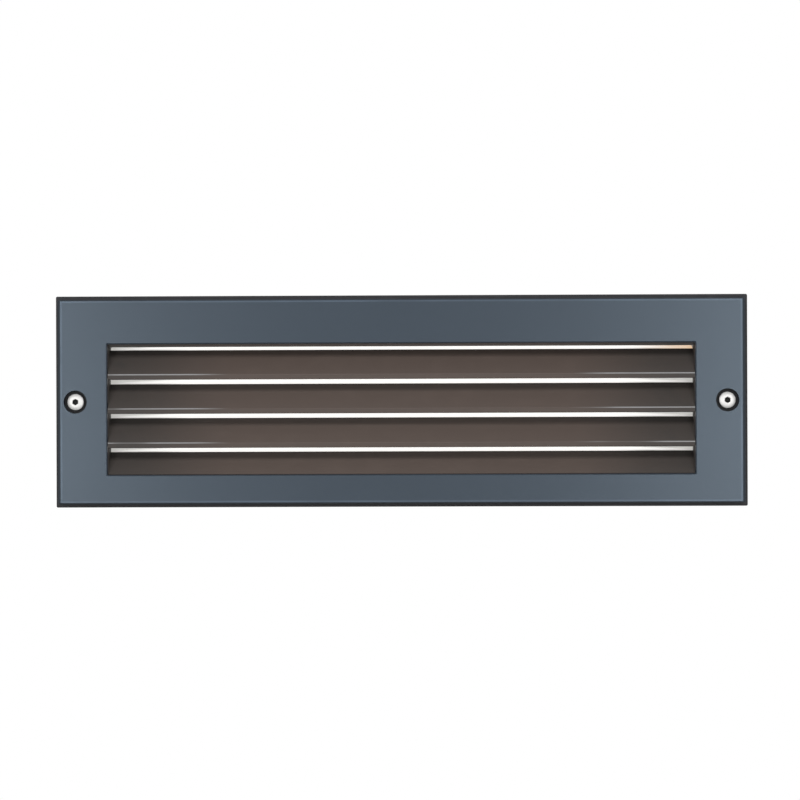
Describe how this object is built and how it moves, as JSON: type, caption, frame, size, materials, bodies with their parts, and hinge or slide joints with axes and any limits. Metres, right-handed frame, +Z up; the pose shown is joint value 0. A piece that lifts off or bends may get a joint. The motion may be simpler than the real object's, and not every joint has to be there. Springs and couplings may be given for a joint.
{
  "type": "step light",
  "caption": "Recessed louvred step light: die-cast cover with slanted blades over a frosted lit lens, captive cover screws, sealed wall box with conduit hubs.",
  "frame": {"origin": "centre of the plate, on the wall surface, which is the centre of the wall fixing holes", "axes": "+X to the right along the plate as seen from in front, +Y into the wall, +Z up"},
  "size_m": [0.273, 0.0935, 0.0834],
  "materials": {
    "slate_paint": "satin powder coat on die-cast aluminium",
    "louvre_paint": "satin dark bronze-grey coat on die-cast aluminium",
    "frosted_glass": "frosted",
    "silicone": "translucent silicone",
    "spring_steel": "plated sheet",
    "zinc_plate": "zinc plated",
    "black_rubber": "moulded",
    "stainless_steel": "turned",
    "nylon": "natural nylon",
    "cast_aluminium": "as cast, tumbled",
    "brass": "turned",
    "plug_paint": "satin",
    "sheet_aluminium": "mill finish",
    "thermal_silicone": "soft pad",
    "board_laminate": "white solder mask",
    "led_phosphor": "yellow phosphor",
    "connector_plastic": "moulded nylon",
    "reflector_white": "matt white",
    "driver_case": "moulded polycarbonate",
    "terminal_plastic": "moulded polyamide",
    "live_insulation": "PVC insulation",
    "neutral_insulation": "PVC insulation",
    "earth_insulation": "striped PVC insulation",
    "positive_insulation": "PVC insulation",
    "negative_insulation": "PVC insulation",
    "earth_green": "green passivated",
    "tinned_copper": "tinned"
  },
  "bodies": {
    "housing": {"back_box": "cast_aluminium", "screw_inserts": "brass", "back_entry_plug": "plug_paint", "left_entry_plug": "plug_paint", "right_entry_plug": "plug_paint", "tray_standoffs": "brass", "gear_tray": "sheet_aluminium", "tray_screws": "zinc_plate", "thermal_pad": "thermal_silicone", "led_board": "board_laminate", "led_chips": "led_phosphor", "board_screws": "zinc_plate", "board_connector": "connector_plastic", "reflector": "reflector_white", "reflector_screws": "zinc_plate", "lead_grommet": "black_rubber", "driver": "driver_case", "driver_screws": "zinc_plate", "terminal_block": "terminal_plastic", "terminal_screws": "zinc_plate", "live_lead": "live_insulation", "neutral_lead": "neutral_insulation", "earth_lead": "earth_insulation", "led_positive_lead": "positive_insulation", "led_negative_lead": "negative_insulation", "earth_screw": "earth_green", "earth_lug": "tinned_copper"},
    "cover": {"faceplate": "slate_paint", "louvre_grille": "louvre_paint", "lens": "frosted_glass", "lens_gasket": "silicone", "lens_clamp": "spring_steel", "clamp_screws": "zinc_plate", "wall_gasket": "black_rubber", "flange_seal": "black_rubber", "screw_seals": "black_rubber"},
    "left_retainer": {"left_screw_retainer": "nylon"},
    "left_screw": {"left_cover_screw": "stainless_steel"},
    "right_retainer": {"right_screw_retainer": "nylon"},
    "right_screw": {"right_cover_screw": "stainless_steel"}
  },
  "joints": [
    {"name": "cover_pull", "type": "slide", "parent": "housing", "child": "cover", "axis": [0, -1, 0], "range_m": [0, 0.06]},
    {"name": "left_screw_back_out", "type": "slide", "parent": "cover", "child": "left_retainer", "axis": [0, -1, 0], "range_m": [0, 0.006]},
    {"name": "left_screw_turn", "type": "hinge", "parent": "left_retainer", "child": "left_screw", "pos_m": [-0.128, -0.005, 0], "axis": [0, -1, 0], "range_deg": [0, 2722]},
    {"name": "right_screw_back_out", "type": "slide", "parent": "cover", "child": "right_retainer", "axis": [0, -1, 0], "range_m": [0, 0.006]},
    {"name": "right_screw_turn", "type": "hinge", "parent": "right_retainer", "child": "right_screw", "pos_m": [0.128, -0.005, 0], "axis": [0, -1, 0], "range_deg": [0, 2722]}
  ],
  "couplings": [
    {"joint": "left_screw_turn", "follows": "left_screw_back_out", "rad_per_m": 7915.8},
    {"joint": "right_screw_turn", "follows": "right_screw_back_out", "rad_per_m": 7915.8}
  ]
}
